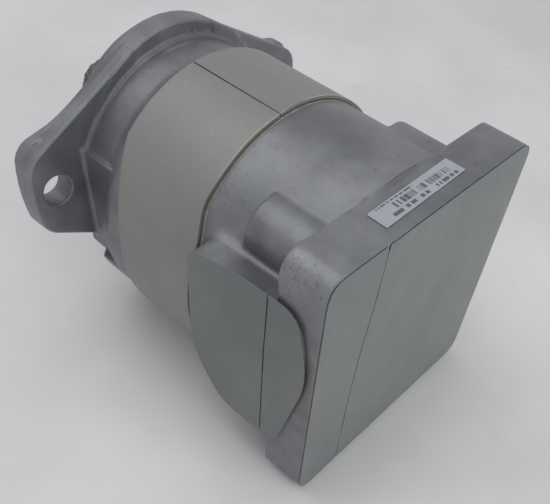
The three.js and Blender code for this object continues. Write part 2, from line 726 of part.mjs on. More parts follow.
function biasPiston() {
  const tip = ARM.y0 - STROKE_CLEARANCE;
  return turned([...domed(tip, 30), [8.2, 30], [8.2, 42], [0, 42]], { z: ARM_Z, segments: COARSE });
}

part('stroking_piston', strokingPiston(), steel);
part('stroking_piston_guide', strokingPistonGuide(), steel);
part('bias_piston', biasPiston(), steel);
part('bias_spring', coil(6.2, 1.1, 4, 25.6, 41.4, { z: ARM_Z }), springSteel);
part('bias_spring_seat', turned([
  [0, 22.3], [11, 22.3], [11, 25.2], [4.4, 25.2], [4.4, 38], [3.6, 39], [0, 39],
], { z: ARM_Z, segments: COARSE }), steel);

/** Spool of the pressure compensator: three lands on a stem, along X. */
function compensatorSpool() {
  const land = (x0, x1) => crossRod(5.5, x0, x1, CONTROL_Y, CONTROL_Z);
  const stem = crossRod(3.2, -58, -6, CONTROL_Y, CONTROL_Z);
  return union([stem, land(-59, -50), land(-38, -28), land(-12, -4)]);
}

function compensatorSpring() {
  const upright = geometryOf(coil(4.9, 0.9, 4, 60.2, 73.2));
  return solid(upright.rotateZ(Math.PI / 2).translate(0, CONTROL_Y, CONTROL_Z));
}

function compensatorPlug() {
  const body = crossRod(7.2, -84.6, -73.8, CONTROL_Y, CONTROL_Z);
  return cut(body, [crossRod(3.5, -85, -79, CONTROL_Y, CONTROL_Z, 6)]);
}

part('compensator_spool', compensatorSpool(), steel);
part('compensator_spring', compensatorSpring(), springSteel);
part('compensator_plug', compensatorPlug(), blackSteel);

// ---------------------------------------------------------------- covers and plugs

function rearCover() {
  return turned([
    [0, REAR_Y - 7.7], [21.6, REAR_Y - 7.7], [31, REAR_Y - 7.7], [31, REAR_Y - 0.4], [0, REAR_Y - 0.4],
  ]);
}

part('rear_cover', rearCover(), steel);

function drainPlug() {
  const body = new THREE.CylinderGeometry(DRAIN.r, DRAIN.r, 9, 28);
  const socket = new THREE.CylinderGeometry(4.2, 4.2, 6, 6);
  return cut(solid(body.rotateX(Math.PI / 2).translate(DRAIN.x, DRAIN.y, -91.2)), [
    solid(socket.rotateX(Math.PI / 2).translate(DRAIN.x, DRAIN.y, -95)),
  ]);
}

part('drain_plug', drainPlug(), blackSteel);

pump.position.y = -SPLINE.y0;

export default pump;
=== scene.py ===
"""Looks of the axial piston pump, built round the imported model.

Shapes are worked out in millimetres, with y counted from the mounting flange's front face, and are
turned into metres of the shared frame when a mesh is made. Castings are distance fields, so that
every inside corner gets a fillet and every edge a radius; thin sheets and the shaft are grids.
"""

import json
import math

import bmesh
import bpy
import numpy as np
from mathutils import Euler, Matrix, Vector
from mathutils.geometry import delaunay_2d_cdt


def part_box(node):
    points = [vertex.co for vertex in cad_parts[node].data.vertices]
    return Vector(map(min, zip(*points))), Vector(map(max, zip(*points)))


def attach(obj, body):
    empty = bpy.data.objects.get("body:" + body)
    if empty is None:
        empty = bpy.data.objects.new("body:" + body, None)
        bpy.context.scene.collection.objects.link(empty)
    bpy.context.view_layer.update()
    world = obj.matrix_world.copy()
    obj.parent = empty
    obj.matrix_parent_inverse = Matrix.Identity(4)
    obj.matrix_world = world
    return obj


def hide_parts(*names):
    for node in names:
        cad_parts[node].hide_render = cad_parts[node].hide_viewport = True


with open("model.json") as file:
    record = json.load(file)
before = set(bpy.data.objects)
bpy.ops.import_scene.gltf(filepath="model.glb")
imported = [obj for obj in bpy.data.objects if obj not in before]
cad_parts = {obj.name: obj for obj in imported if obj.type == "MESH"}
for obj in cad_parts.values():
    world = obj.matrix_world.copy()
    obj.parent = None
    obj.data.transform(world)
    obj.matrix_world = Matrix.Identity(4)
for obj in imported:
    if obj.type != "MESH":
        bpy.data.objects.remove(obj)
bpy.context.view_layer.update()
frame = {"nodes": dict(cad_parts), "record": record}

MM = 0.001
STEP = 0.85  # grid of the castings' distance fields

mounts = {m["name"]: m["pos_m"] for m in frame["record"]["mounts"]}
FLANGE_Y = mounts["mounting_flange_face"][1]  # the flange's front face, in the frame


def box(node):
    """Lowest and highest corner of a CAD node, in millimetres from the flange's front face."""
    shift = Vector((0, FLANGE_Y, 0))
    return [(corner - shift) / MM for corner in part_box(node)]


# ---------------------------------------------------------------- sizes, from the frame

front_lo, front_hi = box("front_housing")
rear_lo, rear_hi = box("rear_housing")
gasket_lo, gasket_hi = box("housing_gasket")
sleeve_lo, sleeve_hi = box("housing_sleeve")
film_lo, film_hi = box("rear_film")
port_film_lo, port_film_hi = box("left_port_film")
label_lo, label_hi = box("label")
bolts = [box(f"housing_bolt_{i}") for i in (1, 2, 3, 4)]

BODY_Z = (gasket_lo.z + gasket_hi.z) / 2  # axis of the round casing
BODY_R = gasket_hi.x + 0.6
SLEEVE_R = sleeve_hi.x
EAR_R = front_hi.x
PILOT_Y = front_lo.y
PAD_X = rear_hi.x
PLATE_X = film_hi.x
PLATE_TOP = film_hi.z
PLATE_BOTTOM = film_lo.z
REAR_Y = rear_hi.y
PLATE_Y = 177.5  # front face of the square end
PLATE_CORNER = 12.0
CAVITY_R = 49.5
BOLT_HOLE_R = 5.4
WALL_END = 39.0  # rear end of the neck's flat sides
PORT_Y, PORT_Z = 159.0, -24.0
PORT_RADIUS = {1: 16.0, -1: 12.5}  # by side: +X is left
BOLT_X = (bolts[0][0].x + bolts[0][1].x) / 2
BOLT_Z = sorted({round((lo.z + hi.z) / 2, 2) for lo, hi in bolts})
CONTROL_Z = (box("stroking_piston")[0].z + box("stroking_piston")[1].z) / 2
VALVE_Y = box("valve_plate")[1].y + 0.3
spool_lo, spool_hi = box("compensator_spool")
COMPENSATOR_Y = (spool_lo.y + spool_hi.y) / 2
COMPENSATOR_Z = (spool_lo.z + spool_hi.z) / 2

# ---------------------------------------------------------------- distance fields


def disc(u, v, u0, v0, r):
    return np.hypot(u - u0, v - v0) - r


def between(w, w0, w1):
    return np.abs(w - (w0 + w1) / 2) - (w1 - w0) / 2


def both(a, b, r=0.0):
    """Common part of two fields, its edge rounded to radius r."""
    return np.minimum(np.maximum(a, b), -r) + np.hypot(np.maximum(a + r, 0), np.maximum(b + r, 0))


def either(a, b, r=0.0):
    """Union of two fields, with a fillet of radius r."""
    return -both(-a, -b, r)


def without(a, b, r=0.0):
    return both(a, -b, r)


def smoothstep(t, start, end):
    t = np.clip((t - start) / (end - start), 0, 1)
    return t * t * (3 - 2 * t)


def half_plane(u, v, a, b):
    """Distance beyond the line from a to b, positive on its left."""
    along = math.hypot(b[0] - a[0], b[1] - a[1])
    return ((b[0] - a[0]) * (v - a[1]) - (b[1] - a[1]) * (u - a[0])) / along


def polygon(u, v, corners):
    """Signed distance to a closed outline."""
    nearest = np.float32(1e12)
    sign = np.float32(1)
    for (au, av), (bu, bv) in zip(corners, corners[-1:] + corners[:-1]):
        eu, ev = bu - au, bv - av
        wu, wv = u - au, v - av
        t = np.clip((wu * eu + wv * ev) / (eu * eu + ev * ev), 0, 1)
        nearest = np.minimum(nearest, (wu - eu * t) ** 2 + (wv - ev * t) ** 2)
        above, below, left = v >= av, v < bv, eu * wv > ev * wu
        sign = sign * np.where((above & below & left) | ~(above | below | left), -1, 1)
    return sign * np.sqrt(nearest)


def rounded(corners, steps=5):
    """Closed outline through [u, v, corner radius] points, as a list of (u, v)."""
    points = []
    for i, (u, v, r) in enumerate(corners):
        corner = Vector((u, v))
        back = (Vector(corners[i - 1][:2]) - corner).normalized() * r
        ahead = (Vector(corners[(i + 1) % len(corners)][:2]) - corner).normalized() * r
        for k in range(steps + 1 if r else 1):
            t = k / steps
            points.append(tuple(corner + back * (1 - t) ** 2 + ahead * t * t))
    return points


def object_from(name, points, faces, smooth=True):
    """Object in the shared frame from points in millimetres from the flange's front face."""
    mesh = bpy.data.meshes.new(name)
    placed = np.asarray(points, float) * MM + (0, FLANGE_Y, 0)
    mesh.from_pydata(placed.tolist(), [], faces if isinstance(faces, list) else faces.tolist())
    mesh.polygons.foreach_set("use_smooth", [smooth] * len(mesh.polygons))
    mesh.update()
    piece = bpy.data.objects.new(name, mesh)
    bpy.context.scene.collection.objects.link(piece)
    return piece


def surface(name, field, lo, hi):
    """Quad mesh of field = 0: surface nets on a grid, then every point is drawn onto the surface."""
    axes = [np.arange(a - 2 * STEP, b + 3 * STEP, STEP, dtype=np.float32) for a, b in zip(lo, hi)]
    x, y, z = np.meshgrid(*axes, indexing="ij", sparse=True)
    shape = tuple(len(axis) for axis in axes)
    grid = np.broadcast_to(field(x, y, z), shape)
    inside = grid < 0

    corner_steps = [(i, j, k) for i in (0, 1) for j in (0, 1) for k in (0, 1)]
    count = sum(
        inside[i : shape[0] - 1 + i, j : shape[1] - 1 + j, k : shape[2] - 1 + k].astype(np.int8)
        for i, j, k in corner_steps
    )
    cells = np.argwhere((count > 0) & (count < 8))
    number = np.full(count.shape, -1, np.int32)
    number[tuple(cells.T)] = np.arange(len(cells))

    total = np.zeros((len(cells), 3), np.float32)
    crossings = np.zeros((len(cells), 1), np.float32)
    for start in corner_steps:
        for axis in range(3):
            if start[axis]:
                continue
            step = np.eye(3, dtype=int)[axis]
            a = grid[tuple((cells + start).T)]
            b = grid[tuple((cells + start + step).T)]
            cross = (a < 0) != (b < 0)
            share = np.where(cross, a / np.where(cross, a - b, 1), 0)
            total += cross[:, None] * (np.array(start) + share[:, None] * step)
            crossings += cross[:, None]
    points = (cells + total / crossings) * STEP + [axis[0] for axis in axes]

    quads = []
    for axis in range(3):
        u, v = (axis + 1) % 3, (axis + 2) % 3
        low = [slice(1, None)] * 3
        low[axis] = slice(None, -1)
        high = list(low)
        high[axis] = slice(1, None)
        change = inside[tuple(low)].astype(np.int8) - inside[tuple(high)].astype(np.int8)
        for sign, order in ((1, (0, 1, 2, 3)), (-1, (3, 2, 1, 0))):
            at = np.argwhere(change == sign)
            at[:, [u, v]] += 1
            ring = []
            for du, dv in ((-1, -1), (0, -1), (0, 0), (-1, 0)):
                cell = at.copy()
                cell[:, u] += du
                cell[:, v] += dv
                ring.append(number[tuple(cell.T)])
            quads.append(np.stack([ring[i] for i in order], axis=1))
    quads = np.concatenate(quads)

    for _ in range(3):
        value, slope = field_and_slope(field, points)
        points -= np.clip(value, -STEP, STEP)[:, None] * slope
    return object_from(name, points, quads)


def field_and_slope(field, points):
    """The field at the points, and its gradient scaled to one over its own length."""
    reach = 0.05
    value = field(*points.T)
    slope = np.stack(
        [field(*(points + step).T) - value for step in np.eye(3) * reach], axis=1
    ) / reach
    return value, slope / np.maximum((slope**2).sum(axis=1, keepdims=True), 0.05)


# ---------------------------------------------------------------- castings

EDGE = 1.1  # radius of the castings' edges
FLANGE_EDGE = 0.8
WALL_X = 70.5  # flat sides of the neck


def flange_ears(x, z):
    """The two ears seen along the shaft: waisted front layer, straight-sided rear layer."""
    u, w = np.abs(x), np.abs(z)
    tip = disc(u, w, 0, 0, EAR_R - 0.3)  # leaves room for the blend between the two layers
    outside = 30 - u
    shoulder = both(half_plane(u, w, (34, 58), (50, 49.5)), half_plane(u, w, (50, 49.5), (64, 35)), 8)
    waist = either(shoulder, half_plane(u, w, (64, 35), (104, 26)), 12)
    front = both(both(waist, tip, 8), outside)
    drop = 2.0 * smoothstep(-z, 0, 14)  # the lower edges stand a little further out
    rear = both(both(half_plane(u, w, (32.6, 59.6), (104.4, 21.2)) - drop, tip, 5.5), outside)
    return front, rear


def neck_and_body(x, y, z):
    """Outside of the front casting: neck, flare and round body, all about lowered axes."""
    neck_r, neck_z = 77.0, -19.0
    under = smoothstep(-z, 5, 50)
    flare = smoothstep(y, 34 - 16 * under, 46 - 21 * under)
    axis_z = neck_z + (BODY_Z - neck_z) * flare
    radius = neck_r + (BODY_R - neck_r) * flare
    return np.hypot(x, z - axis_z) - radius


def front_field(x, y, z):
    flange_t = 14.0
    front_ear, rear_ear = flange_ears(x, z)
    disc_part = both(disc(x, z, 0, 0, 68), between(y, 0, flange_t), FLANGE_EDGE)
    ears = either(
        both(front_ear, between(y, 0, 7), FLANGE_EDGE),
        both(rear_ear, between(y, 6, flange_t), FLANGE_EDGE),
        0.8,
    )
    flange = either(disc_part, ears, 1.5)
    body = both(neck_and_body(x, y, z), between(y, 6, gasket_lo.y - 0.15), 0.8)
    beside = both(both(WALL_X - np.abs(x), y - WALL_END, 0.8), between(z, -50, 30), 2)
    wall = both(both(np.abs(x) - WALL_X, between(y, 6, WALL_END), 0.6), between(z, -10, 17.8), 0.7)
    shell = either(flange, either(without(body, beside, 1.0), wall, 0.5), 3.0)
    pilot = both(disc(x, z, 0, 0, 63.5), between(y, PILOT_Y, 2), 1.2)
    shell = either(shell, pilot, 0.8)

    top_flat = both(between(x, -32, 26), between(y, 19, WALL_END), 2)
    shell = without(shell, both(top_flat, 57.2 - z, 0.6), 0.8)
    for hole, r in (
        (disc(np.abs(x), z, 90.5, 0, 9), 0.9),
        (both(disc(x, z, 0, 0, 26.6), y - 6), 0.6),
        (both(disc(x, z, 0, 0, 36.3), between(y, 5, 29)), 0.6),
        (both(disc(x, z, 0, 0, CAVITY_R), 28 - y), 0.8),
        (both(np.abs(x) - 19, both(between(z, -84, -30), 48 - y)), 0.8),
        (both(np.abs(x) - 12.5, both(between(z, -78.4, -30), between(y, 22, 49))), 0.8),
    ):
        shell = without(shell, hole, r)
    for bolt_z in BOLT_Z:
        shell = without(shell, both(disc(np.abs(x), z, BOLT_X, bolt_z, BOLT_HOLE_R), 70 - y), 0.5)
    seats = both(both(between(np.abs(x), 20, 44), between(y, 26, 46), 0.6), np.abs(z) - 27, 0.6)
    seats = without(seats, disc(y, z, 74, 0, 41), 0.4)
    return either(shell, seats, 0.6)


RIGHT_PAD_DROP = 8.0  # the right pad's upper edge is lower than the left one's
PAD_DROPS = {1: 0.0, -1: RIGHT_PAD_DROP}  # by side: +X is left


def pad_outline(drop):
    return rounded([
        (118.5, 23 - drop, 8),
        (192, 32 - drop, 14 - drop),
        (201.5, -6, 22),
        (185, -77, 9),
        (141, -79, 13),
        (118, -47, 16),
    ])


def rear_field(x, y, z):
    u = np.abs(x)
    body = both(disc(x, z, 0, BODY_Z, BODY_R), between(y, gasket_hi.y + 0.15, PLATE_Y + 1), 0.8)
    for bolt_z in BOLT_Z:
        boss = both(disc(u, z, BOLT_X, bolt_z, 18.3), between(y, 138, PLATE_Y + 1), 2.0)
        body = either(body, boss, 1.6)
    mid_z = (PLATE_TOP + PLATE_BOTTOM) / 2
    half_z = (PLATE_TOP - PLATE_BOTTOM) / 2
    square = both(u - PLATE_X, np.abs(z - mid_z) - half_z, PLATE_CORNER)
    plate = both(square, between(y, PLATE_Y, REAR_Y), EDGE)

    lip = np.interp(y, (126, 167), (-0.05, 0.3)) * smoothstep(z, 0, 18)
    height = z - (u - PAD_X) * lip
    for side, drop in PAD_DROPS.items():
        pad = both(polygon(y, height, pad_outline(drop)), between(side * x, 40, PAD_X), 0.9)
        body = either(body, pad, 3.5)
    casting = either(body, plate, 0.9)

    for hole, r in (
        (both(disc(x, z, 0, 0, CAVITY_R), y - VALVE_Y), 0.8),
        (both(disc(x, z, 0, CONTROL_Z, 13.4), y - 150.5), 0.5),
        (both(disc(x, z, 0, 0, 26.3), y - 176), 0.5),
        (both(disc(x, z, 0, 0, 22), y - (REAR_Y - 8)), 0.5),
        (both(disc(x, z, 0, 0, 31.4), REAR_Y - 8 - y), 0.6),
        (both(both(disc(u, z, 33, 0, 5), np.abs(z) - 24, 1), y - 171), 0.5),
        (both(disc(y, z, PORT_Y, PORT_Z, PORT_RADIUS[1]), 31 - x), 1.2),
        (both(disc(y, z, PORT_Y, PORT_Z, PORT_RADIUS[-1]), 31 + x), 1.2),
        (both(disc(np.abs(y - PORT_Y), np.abs(z - PORT_Z), 16, 29, 4.6), PAD_X - 18 - u), 0.6),
        (both(disc(y, z, COMPENSATOR_Y, COMPENSATOR_Z, 6), between(x, -61, 12)), 0.5),
        (both(disc(y, z, COMPENSATOR_Y, COMPENSATOR_Z, 7.7), x + 60), 0.7),
        (both(disc(x, y, -30, 124, 9.4), z + 86.5), 0.7),
        (both(disc(x, y, -30, 124, 4), between(z, -94, -34)), 0.5),
    ):
        casting = without(casting, hole, r)
    for bolt_z in BOLT_Z:
        casting = without(casting, disc(u, z, BOLT_X, bolt_z, BOLT_HOLE_R), 0.5)
        casting = without(casting, both(disc(u, z, BOLT_X, bolt_z, 9.1), 193.5 - y), 0.6)
    return casting


# ---------------------------------------------------------------- sheets


def filled(points, spacing):
    """Triangles over a closed outline, with inner points on a grid: (points, triangles)."""
    us, vs = zip(*points)
    grid_u, grid_v = np.meshgrid(
        np.arange(min(us), max(us), spacing), np.arange(min(vs), max(vs), spacing), indexing="ij"
    )
    keep = polygon(grid_u, grid_v, points) < -0.45 * spacing
    inner = np.stack([grid_u[keep], grid_v[keep]], axis=1)
    coords = [Vector(p) for p in points] + [Vector(p) for p in inner.tolist()]
    edges = [(i, (i + 1) % len(points)) for i in range(len(points))]
    verts, _, faces, *_ = delaunay_2d_cdt(coords, edges, [], 1, 1e-6)
    return np.array([tuple(v) for v in verts]), [list(face) for face in faces]


def dense(points, spacing):
    """The same closed outline with extra points along its long stretches."""
    out = []
    for p, q in zip(points, points[1:] + points[:1]):
        n = max(1, round(math.dist(p, q) / spacing))
        out += [(p[0] + (q[0] - p[0]) * k / n, p[1] + (q[1] - p[1]) * k / n) for k in range(n)]
    return out


def halves(points, seam, gap):
    """The two parts of a closed outline beside a seam, which is (u, v) points with v rising."""
    seam_u, seam_v = zip(*seam)
    parts = []
    for side in (1, -1):
        keep = [side * (u - np.interp(v, seam_v, seam_u)) > gap / 2 for u, v in points]
        start = next(i for i in range(len(points)) if keep[i] and not keep[i - 1])
        turned = points[start:] + points[:start]
        kept = [p for p in turned if side * (p[0] - np.interp(p[1], seam_v, seam_u)) > gap / 2]
        low, high = sorted((kept[0][1], kept[-1][1]))
        cut = [(np.interp(v, seam_v, seam_u) + side * gap / 2, v) for v in np.arange(low, high, 4.0)]
        parts.append(kept + (cut if kept[-1][1] < kept[0][1] else cut[::-1]))
    return parts


def ripples(u, v, seed, size, count=7):
    """Gentle uneven height from 0 to 1: a few crossing waves with seeded directions."""
    rng = np.random.default_rng(seed)
    total = np.zeros_like(u)
    for _ in range(count):
        angle, length, phase = rng.uniform(0, math.pi), rng.uniform(0.6, 1.8) * size, rng.uniform(0, 6.3)
        total += np.sin((u * math.cos(angle) + v * math.sin(angle)) * 2 * math.pi / length + phase)
    return 0.5 + total / (2 * count)


def outward(piece):
    """Turns every face of a closed mesh outwards and marks its sharp edges."""
    work = bmesh.new()
    work.from_mesh(piece.data)
    bmesh.ops.recalc_face_normals(work, faces=work.faces)
    work.to_mesh(piece.data)
    work.free()
    piece.data.set_sharp_from_angle(angle=math.radians(35))


def panel(name, outlines, place, thickness, sag=0.0, spacing=3.0):
    """Thin sheets over outlines drawn in (u, v). place(u, v, h) gives x, y, z at height h."""
    points, faces = [], []
    for seed, corners in enumerate(outlines):
        border = dense(corners, spacing)
        flat, triangles = filled(border, spacing)
        u, v = flat.T
        start = sum(len(p) for p in points)
        points += [place(u, v, -sag * ripples(u, v, seed, 34)), place(u, v, np.full(len(u), -thickness))]
        under = start + len(flat)
        faces += [[start + i for i in face] for face in triangles]
        faces += [[under + i for i in face[::-1]] for face in triangles]
        for i in range(len(border)):
            j = (i + 1) % len(border)
            faces.append([start + i, under + i, under + j, start + j])
    piece = object_from(name, np.concatenate(points), faces)
    outward(piece)
    bevel = piece.modifiers.new("edge", "BEVEL")
    bevel.width = 0.15 * MM
    bevel.segments = 2
    bevel.limit_method = "ANGLE"
    bevel.angle_limit = math.radians(50)
    return piece


FILM_SEAM_Y = 174.2


def film_outline(drop):
    return rounded([
        (119.5, 24.5 - drop, 7),
        (156, 31.5 - drop, 6),
        (193, 32.8 - drop, 12 - drop),
        (202.6, -9, 16),
        (185.5, -78, 9),
        (141, -79.6, 13),
        (118, -47, 16),
    ])


def port_film(side):
    face = side * port_film_hi.x

    def place(u, v, h):
        return np.stack([face + side * h, u, v], axis=1)

    seam = [(FILM_SEAM_Y, -120), (FILM_SEAM_Y - 0.8, -10), (FILM_SEAM_Y + 0.6, 60)]
    parts = halves(dense(film_outline(PAD_DROPS[side]), 2.0), seam, 0.7)
    name = "left_film_sheet" if side > 0 else "right_film_sheet"
    return panel(name, parts, place, port_film_hi.x - port_film_lo.x, sag=0.25)


def rear_film():
    def place(u, v, h):
        return np.stack([u, film_hi.y + h, v], axis=1)

    outline = rounded([
        (PLATE_X - 0.4, PLATE_TOP - 0.4, PLATE_CORNER),
        (-PLATE_X + 0.4, PLATE_TOP - 0.4, PLATE_CORNER),
        (-PLATE_X + 0.4, PLATE_BOTTOM + 0.4, PLATE_CORNER),
        (PLATE_X - 0.4, PLATE_BOTTOM + 0.4, PLATE_CORNER),
    ])
    seam = [(49.6, -118), (50, -53), (48.4, -11), (45, 24), (43.6, 60)]
    parts = halves(dense(outline, 2.0), seam, 0.6)
    return panel("rear_film_sheet", parts, place, film_hi.y - film_lo.y, sag=0.3)


def label_sticker():
    corners = rounded([(36.0, 185.9, 1), (36.4, 198.2, 1), (-30.2, 197.0, 1), (-30.2, 184.6, 1)])

    def place(u, v, h):
        return np.stack([u, v, label_hi.z + h], axis=1)

    return panel("label_sticker", [corners], place, label_hi.z - label_lo.z, spacing=6.0)


def tube(name, profiles, closed_around):
    """Mesh through closed profiles, one for each step round the axis: (steps, points, 3)."""
    steps, count, _ = profiles.shape
    number = np.arange(steps * count).reshape(steps, count)
    faces = []
    for i in range(steps if closed_around else steps - 1):
        here, ahead = number[i], number[(i + 1) % steps]
        for j in range(count):
            k = (j + 1) % count
            faces.append([int(here[j]), int(here[k]), int(ahead[k]), int(ahead[j])])
    if not closed_around:
        faces += [number[0].tolist(), number[-1][::-1].tolist()]
    return object_from(name, profiles.reshape(-1, 3), faces)


SEAM_DEGREES = 8.0  # the sleeve's seam, from the top towards +X


def sleeve_edges(degrees):
    """Front and rear edge of the sleeve at an angle from the top."""
    side = 180 - np.abs(180 - degrees)
    rise = np.sin(math.pi / 2 * np.clip((side - 45) / 49, 0, 1))
    front = sleeve_lo.y + 14.5 * rise * (1 - smoothstep(side, 120, 160))
    wander = smoothstep(side, 48, 66) * (1 - smoothstep(side, 125, 160))
    return front, sleeve_hi.y - 5.5 + 5.5 * wander


def sleeve():
    """The bent sheet with rounded edges; the sealing lip that shows behind its rear edge is made by
    sleeve_lip.
    """
    thickness, edge = 2.2, 0.45
    steps = 480
    degrees = SEAM_DEGREES + np.linspace(0.35, 359.65, steps)
    angle = np.radians(degrees)
    front, rear = sleeve_edges(degrees)
    rear = rear + 0.25 * np.sin(angle * 9) * np.sin(angle * 4 + 1) - 0.25
    inner = SLEEVE_R - thickness
    corner = [(edge, 0), (edge * 0.4, edge * 0.1), (edge * 0.1, edge * 0.4), (0, edge)]
    columns = [(np.full(steps, inner), rear - 0.4), (np.full(steps, inner + 0.4), rear)]
    columns += [(np.full(steps, SLEEVE_R - a), rear - b) for a, b in corner]
    for share in np.linspace(0.04, 0.96, 14):
        y = rear + (front - rear) * share
        dent = 0.12 * ripples(degrees * 1.4, y, 5, 40)
        columns.append((SLEEVE_R - dent, y))
    columns += [(np.full(steps, SLEEVE_R - a), front + b) for a, b in corner[::-1]]
    columns += [(np.full(steps, inner + 0.4), front), (np.full(steps, inner), front + 0.4)]
    radius, y = (np.stack(part, axis=1) for part in zip(*columns))
    sheet = np.stack(
        [radius * np.sin(angle)[:, None], y, BODY_Z + radius * np.cos(angle)[:, None]], axis=2
    )
    piece = tube("sleeve", sheet, closed_around=False)
    # Painted highlight: a thin light line along the rounded rear rim, broken at the very top and fading out
    # 30 to 50 degrees down each side.
    rim_highlight = np.zeros(radius.shape, np.float32)
    from_top = np.abs(degrees - 360)
    from_top = np.minimum(from_top, 360 - from_top)
    rim_highlight[:, 4] = 0.7 * smoothstep(from_top, 3, 7) * (1 - smoothstep(from_top, 30, 50))
    mark = piece.data.attributes.new("rim_highlight", "FLOAT", "POINT")
    mark.data.foreach_set("value", rim_highlight.ravel())
    outward(piece)
    return piece


def sleeve_lip():
    """Thin sealing lip between the sleeve and the rear casting."""
    steps = 240
    degrees = np.linspace(0, 360, steps, endpoint=False)
    angle = np.radians(degrees)
    rear = sleeve_edges(degrees)[1]
    columns = [(81.8, -2.0), (82.0, -2.0), (82.0, 0.3), (82.15, 0.6), (82.15, 1.2), (82.0, 1.5), (81.8, 1.5)]
    radius = np.array([r for r, _ in columns])
    y = rear[:, None] + np.array([dy for _, dy in columns])
    ring = np.stack([
        radius * np.sin(angle)[:, None], y, BODY_Z + radius * np.cos(angle)[:, None]
    ], axis=2)
    piece = tube("sleeve_lip", ring, closed_around=True)
    outward(piece)
    return piece


# ---------------------------------------------------------------- drive shaft


def drive_shaft():
    """Splined end, seal track, bearing seats and the plain part through the barrel."""
    teeth, tip, root = 14, 15.9, 14.1
    per_tooth = 12
    steps = teeth * per_tooth
    turn = np.arange(steps) / steps
    share = (turn * teeth) % 1
    flank = smoothstep(np.abs(share - 0.5), 0.17, 0.34)
    tooth = tip - (tip - root) * flank
    shaft_lo, shaft_hi = box("drive_shaft")
    start = shaft_lo.y
    profile = [
        (start, 12.9), (start + 0.15, 13.4), (start + 2.6, 16.2), (start + 12, 16.2), (start + 26, 16.2),
        (start + 37, 16.2), (-26, 16.3), (-25.4, 16.8), (-8, 16.8), (5, 16.8), (5.6, 17.5),
        (24.3, 17.5), (24.4, 18.8), (24.8, 19), (28.8, 19), (29.2, 18.6), (31, 15), (60, 15),
        (110, 15), (156, 15), (157.6, 12.5), (173.4, 12.5), (shaft_hi.y, 11.6),
    ]
    rings = []
    for y, r in profile:
        depth = 1 - smoothstep(y, -32, -25.5)
        rings.append(np.minimum(r, tooth * depth + 17 * (1 - depth)) if y < -25.5 else np.full(steps, r))
    radius = np.stack(rings)
    y = np.array([row[0] for row in profile])
    points = np.stack([
        radius * np.cos(2 * math.pi * turn),
        np.repeat(y[:, None], steps, axis=1),
        radius * np.sin(2 * math.pi * turn),
    ], axis=2)
    piece = tube("shaft", points, closed_around=False)
    outward(piece)
    return piece


# ---------------------------------------------------------------- materials


class Look:
    """One material's node graph, built with short calls. Lengths are in millimetres."""

    def __init__(self, name):
        self.material = bpy.data.materials.new(name)
        self.material.use_nodes = True
        self.tree = self.material.node_tree
        self.shader = self.tree.nodes["Principled BSDF"]
        self.place = self.node("ShaderNodeTexCoord").outputs["Object"]

    def node(self, kind, inputs=(), **settings):
        node = self.tree.nodes.new(kind)
        for key, value in settings.items():
            setattr(node, key, value)
        for socket, value in dict(inputs).items():
            self.plug(node.inputs[socket], value)
        return node

    def plug(self, socket, value):
        if isinstance(value, bpy.types.NodeSocket):
            self.tree.links.new(value, socket)
        else:
            socket.default_value = value

    def math(self, operation, a, b=0.0):
        return self.node("ShaderNodeMath", {0: a, 1: b}, operation=operation).outputs[0]

    def noise(self, size, detail=4.0, seed=0.0, stretch=(1, 1, 1)):
        """Uneven value round 0.5 whose patches are about size across."""
        scale = Vector(stretch) / (size * MM)
        place = self.node("ShaderNodeVectorMath", {0: self.place, 1: scale}, operation="MULTIPLY")
        inputs = {"Vector": place.outputs[0], "W": seed, "Scale": 1.0, "Detail": detail}
        return self.node("ShaderNodeTexNoise", inputs, noise_dimensions="4D").outputs[0]

    def step(self, value, start, end):
        """0 before start, 1 beyond end, smooth between."""
        inputs = {"Value": value, "From Min": start, "From Max": end}
        node = self.node("ShaderNodeMapRange", inputs, interpolation_type="SMOOTHSTEP")
        return node.outputs["Result"]

    def mix(self, share, a, b):
        node = self.node("ShaderNodeMix", {0: share, 6: a, 7: b}, data_type="RGBA")
        return node.outputs[2]

    def near(self, centre, reach):
        """1 round a place given from the flange's front face, 0 beyond reach."""
        spot = Vector(centre) * MM + Vector((0, FLANGE_Y, 0))
        away = self.node("ShaderNodeVectorMath", {0: self.place, 1: spot}, operation="DISTANCE")
        return self.step(away.outputs["Value"], reach * MM, 0.25 * reach * MM)

    def pointed(self, start=0.52, end=0.6):
        """1 on outer edges of a finely divided mesh."""
        geometry = self.node("ShaderNodeNewGeometry")
        return self.step(geometry.outputs["Pointiness"], start, end)

    def bump(self, height, depth, before=None):
        """Normal of a surface raised by height times depth."""
        inputs = {"Height": height, "Distance": depth * MM, "Strength": 1.0}
        if before is not None:
            inputs["Normal"] = before
        return self.node("ShaderNodeBump", inputs).outputs[0]

    def rounded_normal(self, radius=0.5):
        return self.node("ShaderNodeBevel", {"Radius": radius * MM}, samples=4).outputs[0]

    def finish(self, color, roughness, metallic, normal=None, specular=0.5):
        self.plug(self.shader.inputs["Base Color"], color)
        self.plug(self.shader.inputs["Roughness"], roughness)
        self.plug(self.shader.inputs["Metallic"], metallic)
        self.plug(self.shader.inputs["Specular IOR Level"], specular)
        if normal is not None:
            self.plug(self.shader.inputs["Normal"], normal)
        return self.material


def gray(value, blue=0.0, red=0.0):
    return (value + red, value + 0.3 * blue, value + blue, 1)


